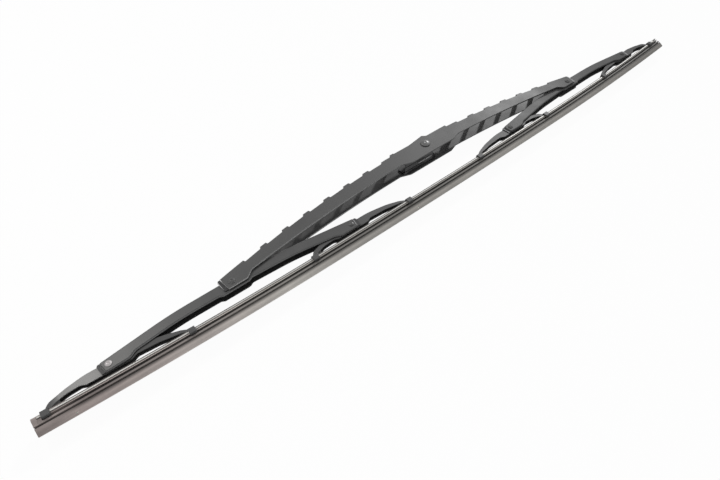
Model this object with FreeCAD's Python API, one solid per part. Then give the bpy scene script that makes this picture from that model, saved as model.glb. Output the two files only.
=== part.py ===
import FreeCAD
import Part
import math
import os

# Lever-type wiper blade, lying on its side as in use on a bench.
# Drawing coordinates: X along the blade from the middle of the linkage, Y from the wiping lip towards
# the spine, Z across the blade from its mid-plane. Every piece is moved at the end so that the origin
# is on the centre pin.
# All lengths are in millimetres, all angles in degrees.

V = FreeCAD.Vector

# Wiping rubber: length, free bow and section, measured from the lip upwards
rubber_left = 322.0
rubber_right = 329.0
bow_middle_radius = 12000.0
bow_end_radius = 3600.0
bow_change = 120.0
lip_width = 0.8
wedge_width = 5.2
wedge_height = 4.5
wedge_shoulder = 0.5
neck_width = 1.2
neck_height = 0.8
rib_width = 6.4
rib_height = 1.5
groove_width = 3.0
groove_height = 1.3
flange_width = 7.2
flange_height = 0.85
head_width = 8.2
head_height = 0.8
rubber_round = 0.25
rubber_end_gap = 0.3
rubber_claw_gap = 1.5

# Backing strips
strip_thickness = 0.95
strip_width = 2.9
strip_proud = 0.2
strip_clearance = 0.05
strip_setback_left = 3.2
strip_setback_right = 6.0

# Folded sheets and widths across the blade
yoke_sheet = 0.8
yoke_width = 4.4
lever_sheet = 0.9
bridge_sheet = 1.1
bridge_width = 14.2
yoke_liner_wall = 0.5
bridge_liner_wall = 0.6
liner_clearance = 0.05

# Pivots: places along the blade and heights
outer_yoke_x = 274.0
inner_yoke_x = 90.6
bridge_rivet_x = 185.8
bridge_rivet_height = 29.1
yoke_height = 7.9
pin_offset = 12.9
pin_height = 48.0

# Yokes and claws, measured from the yoke's pivot
yoke_outer_reach = 39.1
yoke_inner_reach = 50.2
yoke_crest = 2.3
yoke_drop = 4.5
yoke_cheek_outer = 15.0
yoke_cheek_inner = 12.5
yoke_step = 3.6
yoke_arm_depth = 4.6
claw_length = 4.6
claw_clearance = 0.25
claw_hook = 1.1
claw_round = 1.2
yoke_hollow_inset = 8.0
yoke_hollow_outer_share = 0.62
yoke_hollow_inner_share = 0.46

# Secondary levers, measured from their pivots
lever_end = 5.0
lever_end_slant = 1.4
lever_top = 4.0
lever_end_fall = 0.15
lever_crest = 3.8
lever_drop = 4.6
lever_mid_drop = 6.1
lever_mid_cheek = 10.0
lever_mid_rise = 1.4
lever_mid_ramp = 2.5
lever_cheek = 11.5
lever_step = 5.0
lever_arm_drop = 1.9
lever_bulge = 2.4
lever_bulge_radius = 250.0
lever_hollow = 1.7
lever_hollow_radius = 200.0
lever_round = 1.1
lever_mouth = 3.0
lever_mouth_rise = 0.35

# Main bridge
bridge_end = 6.2
bridge_end_top = 6.5
bridge_end_slant = 1.5
bridge_crown = 54.9
bridge_wall_middle = 13.9
bridge_wall_end = 10.6
bridge_cheek = 9.8
bridge_cheek_drop = 4.4
bridge_step = 6.0
bridge_bend = 2.5
bridge_round = 1.4
bridge_end_narrow = 1.6
web_solid = 14.6
web_middle = 44.0
windows_left = 7
windows_right = 6
window_bar = 4.8
window_right_inset = 2.4
window_flank = 0.9
window_depth = 2.3
slot_left = 33.6
slot_right = 31.8
saddle_left = 34.2
saddle_right = 30.2
saddle_rise = 0.1
saddle_lug = 4.2
saddle_lug_rise = 0.8
saddle_ramp = 12.5
saddle_ramp_radius = 20.0
saddle_peak = 2.4
saddle_peak_at = 4.0
saddle_peak_end = 7.4
saddle_drop_half = 24.0
saddle_drop_depth = 3.4
saddle_drop_step = 10.0
saddle_lap = 1.2

# Rivets
pin_radius = 2.5
pin_head_radius = 4.1
pin_head_height = 1.6
pin_dimple = 1.5
bridge_rivet_radius = 1.8
bridge_rivet_head = 2.4
yoke_rivet_radius = 1.6
yoke_rivet_head = 2.1
rivet_head_height = 0.8
rivet_dimple = 1.1
rivet_dimple_depth = 0.45
rivet_fit = 0.02
rivet_dome_share = 0.65
bridge_rivet_seat = 0.08
running_fit = 0.05

# Liners, measured from their pivots
yoke_liner_reach = 8.0
yoke_liner_drop = 4.0
yoke_liner_proud = 1.8
bridge_liner_reach = 10.0
bridge_liner_drop = 4.0
bridge_liner_proud = 2.3
liner_cap = 0.6
liner_shelf = 1.2
liner_sunk = 0.25
liner_nose = 1.0
liner_toe = 0.8

# Arm adapter, measured from the centre pin
adapter_tail = 30.5
adapter_tail_fall = 4.4
adapter_tail_slot = 9.0
adapter_nose = 2.0
adapter_shoulder = 8.0
adapter_core_radius = 5.4
adapter_cheek = 1.2
adapter_side_clearance = 0.15
adapter_top = 4.6
adapter_bottom = 8.4
adapter_tongue = 1.4
adapter_tongue_gap = 1.3
adapter_tongue_half = 1.9
adapter_slit = 0.8
adapter_tongue_root = 9.0
adapter_ridge_start = 0.5
adapter_ridge_end = 15.5
adapter_ridge_width = 0.7
adapter_ridge_height = 0.7

# Sizes that follow from the ones above
rubber_height = (wedge_height + neck_height + rib_height + groove_height + flange_height
                 + strip_thickness + 2 * strip_clearance + head_height)
strip_outer = head_width / 2 + strip_proud
groove_bottom = wedge_height + neck_height + rib_height
strip_bottom = groove_bottom + groove_height + flange_height + strip_clearance
claw_inner = strip_outer + claw_clearance
claw_half = claw_inner + yoke_sheet
yoke_half = yoke_width / 2
lever_inner = yoke_half + yoke_liner_wall + 2 * liner_clearance
lever_half = lever_inner + lever_sheet
bridge_end_inner = lever_half + bridge_liner_wall + 2 * liner_clearance
bridge_half = bridge_width / 2
bridge_inner = bridge_half - bridge_sheet
far = 60.0


def rounded_wire(points):
    """Closed wire through points (x, y) or (x, y, radius); a corner with a radius becomes a tangent arc."""
    count = len(points)
    spans = []
    for i in range(count):
        p = points[i]
        here = V(p[0], p[1], 0)
        before = V(points[i - 1][0], points[i - 1][1], 0)
        after = V(points[(i + 1) % count][0], points[(i + 1) % count][1], 0)
        if len(p) < 3:
            spans.append((here, here, here))
            continue
        back = before - here
        ahead = after - here
        room = 0.48 * min(back.Length, ahead.Length)
        half = back.getAngle(ahead) / 2
        if math.pi / 2 - half < 1e-4:
            spans.append((here, here, here))
            continue
        tangent = min(p[2] / math.tan(half), room)
        radius = tangent * math.tan(half)
        back.normalize()
        ahead.normalize()
        inward = back + ahead
        inward.normalize()
        middle = here + inward * (radius / math.sin(half) - radius)
        spans.append((here + back * tangent, middle, here + ahead * tangent))
    edges = []
    for i in range(count):
        start, middle, end = spans[i]
        following = spans[(i + 1) % count][0]
        if (end - start).Length > 1e-6:
            edges.append(Part.Arc(start, middle, end).toShape())
        if (following - end).Length > 1e-6:
            edges.append(Part.makeLine(end, following))
    return Part.Wire(edges)


def plate(points, low, high):
    """Flat outline in X and Y, thick from low to high in Z."""
    body = Part.Face(rounded_wire(points)).extrude(V(0, 0, high - low))
    body.translate(V(0, 0, low))
    return body


def bar_section(points, start, end):
    """Outline given as (z, y), extruded along X from start to end."""
    body = Part.Face(rounded_wire(points)).extrude(V(0, 0, end - start))
    body.rotate(V(0, 0, 0), V(0, 1, 0), 90)
    body.translate(V(start, 0, 0))
    return body


def block(x0, x1, y0, y1, z0, z1):
    """Box between two corners."""
    return Part.makeBox(x1 - x0, y1 - y0, z1 - z0, V(x0, y0, z0))


def drill(x, y, radius):
    """Round cutter along Z through the whole width."""
    return Part.makeCylinder(radius, 2 * far, V(x, y, -far), V(0, 0, 1))


def one_solid(shape):
    """The shape as a single clean solid."""
    clean = shape.removeSplitter()
    return clean.Solids[0] if len(clean.Solids) == 1 else clean


def mirrored(shape):
    """The same piece on the other half of the blade."""
    return shape.mirror(V(0, 0, 0), V(1, 0, 0))


def bow_height(x, above):
    """Height of the bowed rubber's line that runs a given distance above the lip."""
    turn = math.asin(bow_change / bow_middle_radius)
    split = math.sin(turn) * (bow_middle_radius - above)
    if abs(x) <= split:
        return bow_middle_radius - math.sqrt((bow_middle_radius - above) ** 2 - x * x)
    centre_x = math.sin(turn) * (bow_middle_radius - bow_end_radius)
    centre_y = bow_middle_radius - math.cos(turn) * (bow_middle_radius - bow_end_radius)
    return centre_y - math.sqrt((bow_end_radius - above) ** 2 - (abs(x) - centre_x) ** 2)


def bowed(face, left, right):
    """A section in the YZ plane carried along the bow: a flat middle arc with a tighter arc at each end."""
    turn = math.asin(bow_change / bow_middle_radius)
    centre = V(0, bow_middle_radius, 0)
    middle = face.copy()
    middle.rotate(centre, V(0, 0, 1), -math.degrees(turn))
    body = middle.revolve(centre, V(0, 0, 1), 2 * math.degrees(turn))
    for side, reach in ((-1, left), (1, right)):
        body = body.fuse(bowed_end(face, side, bow_change, reach))
    return one_solid(body)


def bowed_end(face, side, start, end):
    """A section carried along the tighter arc at one end of the bow, from start to end along X."""
    turn = math.asin(bow_change / bow_middle_radius)
    offset = bow_middle_radius - bow_end_radius
    centre = V(side * math.sin(turn) * offset, bow_middle_radius - math.cos(turn) * offset, 0)
    first = math.asin((start - abs(centre.x)) / bow_end_radius)
    last = math.asin((end - abs(centre.x)) / bow_end_radius)
    section = face.copy()
    section.rotate(V(0, bow_middle_radius, 0), V(0, 0, 1), side * math.degrees(turn))
    section.rotate(centre, V(0, 0, 1), side * math.degrees(first - turn))
    return section.revolve(centre, V(0, 0, 1), side * math.degrees(last - first))


def section_face(points):
    """Face in the YZ plane from points given as (z, y)."""
    face = Part.Face(rounded_wire(points))
    face.rotate(V(0, 0, 0), V(0, 1, 0), -90)
    return face


def rubber():
    """Wiping rubber: wedge and lip, hinge neck, rib, claw groove and slotted head, closed at its left end."""
    r = rubber_round
    y1 = wedge_height
    y2 = y1 + neck_height
    y3 = y2 + rib_height
    y4 = y3 + groove_height
    y5 = y4 + flange_height
    y6 = y5 + strip_thickness + 2 * strip_clearance
    slot = strip_outer - strip_width - strip_clearance
    half = [(lip_width / 2, 0), (wedge_width / 2, y1 - wedge_shoulder, r), (wedge_width / 2, y1, r),
            (neck_width / 2, y1), (neck_width / 2, y2), (rib_width / 2, y2, r), (rib_width / 2, y3, r),
            (groove_width / 2, y3), (groove_width / 2, y4), (flange_width / 2, y4, r), (flange_width / 2, y5),
            (slot, y5), (slot, y6), (head_width / 2, y6), (head_width / 2, rubber_height, 2 * r)]
    body = bowed(section_face(both_sides(half)), rubber_left, rubber_right)
    groove_stop = [(rib_width / 2, y2, r), (rib_width / 2, y3), (flange_width / 2, y4),
                   (flange_width / 2, y5)]
    slot_stop = [(flange_width / 2, y4), (head_width / 2, y5), (head_width / 2, rubber_height, 2 * r)]
    last_claw = outer_yoke_x + yoke_outer_reach + claw_length / 2
    strip_end = rubber_left - strip_setback_left
    for stop, start in ((groove_stop, last_claw + rubber_claw_gap), (slot_stop, strip_end + rubber_end_gap)):
        body = body.fuse(bowed_end(section_face(both_sides(stop)), -1, start, rubber_left))
    return one_solid(body)


def both_sides(half):
    """A whole outline from its half with positive z, mirrored to the other side."""
    return half + [(-p[0],) + p[1:] for p in reversed(half)]


def strip(side):
    """Backing strip in the slot on one side of the head."""
    inner = strip_outer - strip_width
    top = strip_bottom + strip_thickness
    points = [(side * inner, strip_bottom), (side * strip_outer, strip_bottom), (side * strip_outer, top),
              (side * inner, top)]
    return bowed(section_face(points), rubber_left - strip_setback_left, rubber_right - strip_setback_right)


def yoke_place(pivot_x):
    """Pivot and tilt of a yoke on the left half, with both its claws on the bowed back of the rubber."""
    x0 = -pivot_x - yoke_outer_reach
    x1 = -pivot_x + yoke_inner_reach
    y0 = bow_height(x0, rubber_height)
    y1 = bow_height(x1, rubber_height)
    tilt = math.atan2(y1 - y0, x1 - x0)
    chord = y0 + (y1 - y0) * yoke_outer_reach / (x1 - x0)
    return V(-pivot_x, chord + yoke_height / math.cos(tilt), 0), math.degrees(tilt)


def yoke_back():
    """Back line of a yoke from its outer claw to its inner claw, in the yoke's own coordinates."""
    seat = -yoke_height + claw_clearance + yoke_sheet
    a = -yoke_outer_reach
    b = yoke_inner_reach
    rise = yoke_crest - seat
    return [(a - claw_length / 2, seat), (a - 0.6, seat + 0.6, 1.5), (a + 2.6, seat + 0.46 * rise, 6),
            (a + 13, seat + 0.78 * rise, 40), (-yoke_cheek_outer, yoke_crest, 40), (0.35 * b, yoke_crest, 60),
            (0.68 * b, seat + 0.72 * rise, 60), (b - 5.5, seat + 0.35 * rise, 14), (b - 0.6, seat + 0.5, 2),
            (b + claw_length / 2, seat)]


def yoke():
    """Narrow folded channel with deep cheeks at the pivot and a pair of claws at each end."""
    seat = -yoke_height + claw_clearance
    a = -yoke_outer_reach
    b = yoke_inner_reach
    arm = yoke_arm_depth
    top = yoke_back()
    under = [(b + claw_length / 2, seat), (b - 2.4, seat), (b - 6, seat + 1.9, 6),
             (0.6 * b, yoke_crest - arm - 1.0, 30), (yoke_cheek_inner + yoke_step, yoke_crest - arm - 0.3, 3),
             (yoke_cheek_inner, -yoke_drop, 2), (-yoke_cheek_outer, -yoke_drop, 2),
             (-yoke_cheek_outer - yoke_step, yoke_crest - arm - 0.5, 3), (a + 12, yoke_crest - arm - 0.9, 20),
             (a + 5, seat + 2.4, 6), (a + 1.8, seat), (a - claw_length / 2, seat)]
    body = plate(top + under, -yoke_half, yoke_half)
    start = a + yoke_hollow_inset
    end = b - yoke_hollow_inset
    inside = [(x, y - yoke_sheet) for x, y in [p[:2] for p in top] if start < x < end]
    inside = [(start, seat + yoke_hollow_outer_share * (yoke_crest - seat) - yoke_sheet)] + inside
    inside = inside + [(end, seat + yoke_hollow_inner_share * (yoke_crest - seat) - yoke_sheet)]
    hollow = plate(inside + [(end, -far), (start, -far)], yoke_sheet - yoke_half, yoke_half - yoke_sheet)
    body = body.cut(hollow)
    tip_top = -yoke_height - rubber_height + groove_bottom + groove_height - claw_clearance
    tip_bottom = -yoke_height - rubber_height + groove_bottom + claw_clearance
    hook = flange_width / 2 - claw_hook
    half = [(claw_half, seat + yoke_sheet, claw_round), (claw_half, tip_bottom, claw_round / 2),
            (hook, tip_bottom), (hook, tip_top), (claw_inner, tip_top), (claw_inner, seat)]
    claw = [(-p[0],) + p[1:] for p in half] + list(reversed(half))
    for centre in (a, b):
        body = body.fuse(bar_section(claw, centre - claw_length / 2, centre + claw_length / 2))
    body = body.cut(drill(0, 0, yoke_rivet_radius + running_fit))
    return one_solid(body)


def placed(shape, pivot, tilt):
    """A piece drawn about its pivot, turned and moved to its place."""
    copy = shape.copy()
    copy.rotate(V(0, 0, 0), V(0, 0, 1), tilt)
    copy.translate(pivot)
    return copy


def lever_back(outer, middle, inner):
    """Back line of the secondary lever on the left half, from its outer end to its inner end."""
    high = lever_top + lever_bulge
    low = lever_top - lever_end_fall
    return [(outer.x - lever_end, outer.y + low, 1.5),
            ((outer.x + middle.x) / 2, (outer.y + middle.y) / 2 + high, lever_bulge_radius),
            (middle.x, middle.y + lever_crest, lever_bulge_radius),
            ((middle.x + inner.x) / 2, (middle.y + inner.y) / 2 + high, lever_bulge_radius),
            (inner.x + lever_end, inner.y + low, 2)]


def lever(outer, middle, inner):
    """Secondary lever: folded channel, deep at its three pivots, open below and at both ends."""
    top = lever_back(outer, middle, inner)
    step0 = outer.x + lever_cheek
    step1 = inner.x - lever_cheek
    mid0 = middle.x - lever_mid_cheek
    mid1 = middle.x + lever_mid_cheek
    arm_mid = middle.y - lever_mid_drop + lever_mid_rise
    low_outer = ((step0 + lever_step + mid0) / 2, (outer.y - lever_arm_drop + arm_mid) / 2 + lever_hollow,
                 lever_hollow_radius)
    low_inner = ((step1 - lever_step + mid1) / 2, (inner.y - lever_arm_drop + arm_mid) / 2 + lever_hollow,
                 lever_hollow_radius)
    under = [(inner.x + lever_end - lever_end_slant, inner.y - lever_drop, 1.5),
             (step1, inner.y - lever_drop, 2), (step1 - lever_step, inner.y - lever_arm_drop, 4),
             low_inner, (mid1 + lever_mid_ramp, arm_mid, 2),
             (mid1, middle.y - lever_mid_drop, 1.5), (mid0, middle.y - lever_mid_drop, 1.5),
             (mid0 - lever_mid_ramp, arm_mid, 2), low_outer,
             (step0 + lever_step, outer.y - lever_arm_drop, 4), (step0, outer.y - lever_drop, 2),
             (outer.x - lever_end + lever_end_slant, outer.y - lever_drop, 1.5)]
    body = plate(top + under, -lever_half, lever_half)
    back = [e for e in body.Edges if is_back_edge(e, lever_half, top)]
    body = body.makeFillet(lever_round, back)
    inside = [(p[0], p[1] - lever_sheet) + p[2:] for p in top[1:-1]]
    x0, y0 = top[0][0], top[0][1] - lever_sheet
    x1, y1 = top[-1][0], top[-1][1] - lever_sheet
    start = [(x0 - far, y0), (x0 + lever_mouth, y0 + lever_mouth_rise)]
    end = [(x1 - lever_mouth, y1 + lever_mouth_rise), (x1 + far, y1)]
    hollow = plate(start + inside + end + [(x1 + far, -far), (x0 - far, -far)], -lever_inner, lever_inner)
    body = body.cut(hollow)
    for pivot, side in ((outer, -1), (inner, 1)):
        x0, x1 = sorted((pivot.x - side, pivot.x + side * far))
        body = body.cut(block(x0, x1, pivot.y, pivot.y + far, -lever_inner, lever_inner))
        body = body.cut(drill(pivot.x, pivot.y, yoke_rivet_radius + rivet_fit))
    body = body.cut(drill(middle.x, middle.y, bridge_rivet_radius + running_fit))
    return one_solid(body)


def is_back_edge(edge, half, top):
    """True for a long edge along the back of a channel, on either side."""
    box = edge.BoundBox
    flat = box.ZLength < 1e-6 and abs(abs(box.ZMin) - half) < 1e-6
    if not flat:
        return False
    mid = edge.valueAt((edge.FirstParameter + edge.LastParameter) / 2)
    if mid.x < top[0][0] + 2 or mid.x > top[-1][0] - 2.5:
        return False
    floor = top[0][1] + (top[-1][1] - top[0][1]) * (mid.x - top[0][0]) / (top[-1][0] - top[0][0])
    return mid.y > floor - 0.2


def crown_arc(lowered):
    """End height, crown and end of the bridge's back arc, lowered by a given distance."""
    end_x = bridge_rivet_x + bridge_end
    end_y = bridge_rivet_height + bridge_end_top
    return V(-end_x, end_y - lowered, 0), V(0, bridge_crown - lowered, 0), V(end_x, end_y - lowered, 0)


def arc_height(arc, x):
    """Height at x of the circle through three points that lie evenly about X zero."""
    sag = arc[1].y - arc[2].y
    radius = (arc[2].x ** 2 + sag ** 2) / (2 * sag)
    return arc[1].y - radius + math.sqrt(radius ** 2 - x * x)


def bridge_outer():
    """Outer form of the bridge: side outline crossed with the plan outline that narrows to the ends."""
    back = crown_arc(0)
    end_x = back[2].x
    cheek = bridge_rivet_x - bridge_cheek
    step = cheek - bridge_step
    low = bridge_rivet_height - bridge_cheek_drop
    arm = arc_height(back, step) - bridge_wall_end
    edges = [Part.Arc(back[0], back[1], back[2]).toShape()]
    right = [back[2], V(end_x - bridge_end_slant, low, 0), V(cheek, low, 0), V(step, arm, 0)]
    for p, q in zip(right, right[1:]):
        edges.append(Part.makeLine(p, q))
    edges.append(Part.Arc(right[-1], V(0, bridge_crown - bridge_wall_middle, 0), V(-step, arm, 0)).toShape())
    left = [V(-p.x, p.y, 0) for p in reversed(right)]
    for p, q in zip(left, left[1:]):
        edges.append(Part.makeLine(p, q))
    body = Part.Face(Part.Wire(edges)).extrude(V(0, 0, 2 * far))
    body.translate(V(0, 0, -far))
    bends = []
    for e in body.Edges:
        at = e.valueAt((e.FirstParameter + e.LastParameter) / 2)
        upright = e.BoundBox.ZLength > far
        if upright and (abs(abs(at.x) - cheek) < 0.01 or abs(abs(at.x) - step) < 0.01):
            bends.append(e)
    body = body.makeFillet(bridge_bend, bends)
    body = body.common(bridge_plan(end_x))
    crests = [e for e in body.Edges if e.BoundBox.XLength > end_x and e.BoundBox.YMax > bridge_crown - 1]
    return body.makeFillet(bridge_round, crests)


def bridge_plan(end_x):
    """Plan outline of the bridge, widest in the middle, as a tall cutter."""
    a = V(-end_x, -far, bridge_half - bridge_end_narrow)
    b = V(0, -far, bridge_half)
    c = V(end_x, -far, bridge_half - bridge_end_narrow)
    edges = [Part.Arc(a, b, c).toShape()]
    edges.append(Part.makeLine(c, V(c.x, -far, -c.z)))
    edges.append(Part.Arc(V(c.x, -far, -c.z), V(0, -far, -b.z), V(a.x, -far, -a.z)).toShape())
    edges.append(Part.makeLine(V(a.x, -far, -a.z), a))
    return Part.Face(Part.Wire(edges)).extrude(V(0, 3 * far, 0))


def bridge_hollow():
    """Inside of the bridge: under the lowered back arc and between walls that run parallel at the ends."""
    back = crown_arc(bridge_sheet)
    end_x = back[2].x + 5
    sides = [back[0] + V(-5, 0, 0), back[0], back[2], back[2] + V(5, 0, 0)]
    edges = [Part.makeLine(sides[0], sides[1]), Part.Arc(back[0], back[1], back[2]).toShape()]
    edges.append(Part.makeLine(sides[2], sides[3]))
    edges.append(Part.makeLine(sides[3], V(end_x, -far, 0)))
    edges.append(Part.makeLine(V(end_x, -far, 0), V(-end_x, -far, 0)))
    edges.append(Part.makeLine(V(-end_x, -far, 0), sides[0]))
    body = Part.Face(Part.Wire(edges)).extrude(V(0, 0, 2 * far))
    body.translate(V(0, 0, -far))
    near = bridge_rivet_x - web_solid
    half = [(-end_x, bridge_end_inner), (-near, bridge_end_inner), (pin_offset - web_middle, bridge_inner),
            (pin_offset + web_middle, bridge_inner), (near, bridge_end_inner), (end_x, bridge_end_inner)]
    outline = half + [(x, -z) for x, z in reversed(half)]
    plan = Part.Face(Part.makePolygon([V(x, -2 * far, z) for x, z in outline + outline[:1]]))
    return body.common(plan.extrude(V(0, 4 * far, 0)))


def saddle_walls():
    """Raised and deepened side walls round the centre pin, as one tall outline between the two walls."""
    back = crown_arc(0)
    rise = arc_height(back, pin_offset) + saddle_rise
    low = bridge_crown - bridge_wall_middle - saddle_drop_depth
    x0 = pin_offset - saddle_left
    x1 = pin_offset + saddle_right
    a = saddle_drop_half
    b = saddle_drop_half + saddle_drop_step
    level = low + saddle_drop_depth + saddle_lap
    lug = rise + saddle_lug_rise
    outline = [(x0, level), (x0, lug, 1.0), (x0 + saddle_lug, lug, 1.0), (x0 + saddle_lug, rise, 0.3),
               (pin_offset - saddle_ramp, rise, saddle_ramp_radius),
               (pin_offset + saddle_peak_at, rise + saddle_peak, 1.2),
               (pin_offset + saddle_peak_end, rise, 1.5), (x1, rise, 0.6), (x1, level),
               (pin_offset + b, level), (pin_offset + b, level - saddle_lap),
               (pin_offset + a, low, 6), (pin_offset - a, low, 6), (pin_offset - b, level - saddle_lap),
               (pin_offset - b, level)]
    walls = plate(outline, -far, far).common(bridge_plan(bridge_rivet_x + bridge_end))
    return walls.cut(block(x0 - far, x1 + far, low - far, rise + far, -bridge_inner, bridge_inner))


def window_cutters():
    """Windows through the back, in two rows that stop short of the ends and of the middle."""
    back = crown_arc(0)
    ends = bridge_rivet_x - web_solid
    rows = ((-ends, pin_offset - web_middle, windows_left),
            (pin_offset + web_middle - window_right_inset, ends - window_right_inset, windows_right))
    cutters = []
    for start, end, count in rows:
        pitch = (end - start + window_bar) / count
        for i in range(count):
            a = start + i * pitch
            b = a + pitch - window_bar
            points = [(a + window_flank, arc_height(back, a) - window_depth, 0.7),
                      (b - window_flank, arc_height(back, b) - window_depth, 0.7),
                      (b + window_flank, arc_height(back, b) + window_depth),
                      (a - window_flank, arc_height(back, a) + window_depth)]
            cutters.append(plate(points, -far, far))
    return cutters


def bridge():
    """Main bridge: arched folded channel with windows in its back and a slot for the arm's hook."""
    body = bridge_outer().cut(bridge_hollow()).fuse(saddle_walls())
    body = body.cut(block(pin_offset - slot_left, pin_offset + slot_right, pin_height, far + bridge_crown,
                          -bridge_inner, bridge_inner))
    for cutter in window_cutters():
        body = body.cut(cutter)
    body = body.cut(drill(pin_offset, pin_height, pin_radius + rivet_fit))
    for side in (-1, 1):
        x = side * bridge_rivet_x
        body = body.cut(drill(x, bridge_rivet_height, bridge_rivet_radius + rivet_fit))
        x0, x1 = sorted((x, x + side * far))
        body = body.cut(block(x0, x1, bridge_rivet_height, bridge_crown + far,
                              -bridge_end_inner, bridge_end_inner))
    return one_solid(body)


def rivet(x, y, radius, head, height, grip, dimple):
    """Shank through a grip of given half length, with a domed and dimpled head at each end."""
    seat = grip + rivet_fit
    hollow = (dimple ** 2 + rivet_dimple_depth ** 2) / (2 * rivet_dimple_depth)
    dome = rivet_dome_share * height
    ball = (head ** 2 + dome ** 2) / (2 * dome)
    body = Part.makeCylinder(radius, 2 * seat, V(0, 0, -seat), V(0, 0, 1))
    for side in (-1, 1):
        disc = Part.makeCylinder(head, height, V(0, 0, side * seat), V(0, 0, side))
        cap = Part.makeSphere(ball, V(0, 0, side * (seat + height - ball)))
        dent = Part.makeSphere(hollow, V(0, 0, side * (seat + height - rivet_dimple_depth + hollow)))
        body = body.fuse(disc.common(cap).cut(dent))
    body.translate(V(x, y, 0))
    return one_solid(body)


def liner(pivot, side, end, inner, wall, reach, proud, drop, crest, hole):
    """Plastic saddle at a channel's end: two cheeks beside the inner lever, joined by a cap in the notch."""
    z0 = inner - wall - liner_clearance
    z1 = inner - liner_clearance
    tip = pivot.x + side * (end + proud)
    deep = pivot.x - side * reach
    low = pivot.y - drop
    top = pivot.y + crest
    shelf = top - liner_shelf
    nose = tip - side * liner_nose
    cap = pivot.x + side * liner_cap
    cheek = [(deep, low, 1), (tip - side * liner_toe, low, 0.8), (tip, shelf, 1.5), (nose, top, 0.8),
             (cap, top), (cap, shelf), (deep, shelf, 1)]
    body = plate(cheek, z0, z1).fuse(plate(cheek, -z1, -z0))
    x0, x1 = sorted((nose, cap))
    body = body.fuse(block(x0, x1, top - liner_cap, top, -z1, z1))
    return one_solid(body.cut(drill(pivot.x, pivot.y, hole)))


def adapter():
    """Plastic insert on the centre pin: a round core between two cheeks, with a latch tongue below."""
    core_half = bridge_inner - adapter_side_clearance
    inner = core_half - adapter_cheek
    nose = adapter_core_radius + adapter_nose
    cheek = [(nose, -adapter_bottom, 4.0), (nose, adapter_top, 3.5), (-adapter_shoulder, adapter_top, 5.0),
             (-adapter_tail, adapter_top - adapter_tail_fall, 2.0), (-adapter_tail, -adapter_bottom, 2.0)]
    body = plate(cheek, inner, core_half).fuse(plate(cheek, -core_half, -inner))
    body = body.fuse(Part.makeCylinder(adapter_core_radius, 2 * core_half, V(0, 0, -core_half), V(0, 0, 1)))
    tongue = [(0.0, -adapter_bottom), (0.0, -adapter_bottom + adapter_tongue),
              (-adapter_tail + 1.5, -adapter_bottom + adapter_tongue), (-adapter_tail + 0.5, -adapter_bottom)]
    body = body.fuse(plate(tongue, -inner, inner))
    stem = block(-adapter_tongue, adapter_tongue, -adapter_bottom, 0, -inner, inner)
    body = body.fuse(stem)
    slit = [(-adapter_tail - 1, -adapter_bottom + adapter_tongue),
            (-adapter_tail - 1, -adapter_bottom + adapter_tongue + adapter_tongue_gap),
            (-adapter_tail + adapter_tail_slot, -adapter_bottom + adapter_tongue + adapter_tongue_gap, 0.5),
            (-adapter_tail + adapter_tail_slot, -adapter_bottom + adapter_tongue, 0.5)]
    body = body.cut(plate(slit, -far, far))
    for side in (-1, 1):
        z0, z1 = sorted((side * adapter_tongue_half, side * (adapter_tongue_half + adapter_slit)))
        body = body.cut(block(-adapter_tail - 1, -adapter_tongue_root, -adapter_bottom - 1,
                              -adapter_bottom + adapter_tongue + 1, z0, z1))
    body = body.fuse(block(-adapter_ridge_end, -adapter_ridge_start, -adapter_bottom - adapter_ridge_height,
                           -adapter_bottom, -adapter_ridge_width / 2, adapter_ridge_width / 2))
    body = body.cut(drill(0, 0, pin_radius + running_fit))
    body.translate(V(pin_offset, pin_height, 0))
    return one_solid(body)


def build():
    """All pieces by name, in drawing coordinates."""
    pieces = {}
    outer, outer_tilt = yoke_place(outer_yoke_x)
    inner, inner_tilt = yoke_place(inner_yoke_x)
    middle = V(-bridge_rivet_x, bridge_rivet_height, 0)
    claw_yoke = yoke()
    left = {}
    left["yoke_outer"] = placed(claw_yoke, outer, outer_tilt)
    left["yoke_inner"] = placed(claw_yoke, inner, inner_tilt)
    left["secondary_lever"] = lever(outer, middle, inner)
    for name, pivot in (("outer", outer), ("inner", inner)):
        left["yoke_rivet_" + name] = rivet(pivot.x, pivot.y, yoke_rivet_radius, yoke_rivet_head,
                                           rivet_head_height, lever_half, rivet_dimple)
        side = -1 if name == "outer" else 1
        left["yoke_liner_" + name] = liner(pivot, side, lever_end, lever_inner, yoke_liner_wall,
                                           yoke_liner_reach, yoke_liner_proud, yoke_liner_drop,
                                           lever_top - liner_sunk, yoke_rivet_radius + rivet_fit)
    wall = bridge_half - bridge_end_narrow * (bridge_rivet_x / (bridge_rivet_x + bridge_end)) ** 2
    left["bridge_rivet"] = rivet(middle.x, middle.y, bridge_rivet_radius, bridge_rivet_head,
                                 rivet_head_height, wall + bridge_rivet_seat, rivet_dimple)
    left["bridge_liner"] = liner(middle, -1, bridge_end, bridge_end_inner, bridge_liner_wall,
                                 bridge_liner_reach, bridge_liner_proud, bridge_liner_drop,
                                 bridge_end_top - liner_sunk, bridge_rivet_radius + rivet_fit)
    for name, shape in left.items():
        pieces[name + "_left"] = shape
        pieces[name + "_right"] = mirrored(shape)
    pieces["main_bridge"] = bridge()
    pieces["centre_pin"] = rivet(pin_offset, pin_height, pin_radius, pin_head_radius, pin_head_height,
                                 bridge_half, pin_dimple)
    pieces["arm_adapter"] = adapter()
    pieces["wiping_rubber"] = rubber()
    pieces["backing_strip_near"] = strip(1)
    pieces["backing_strip_far"] = strip(-1)
    return pieces


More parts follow.
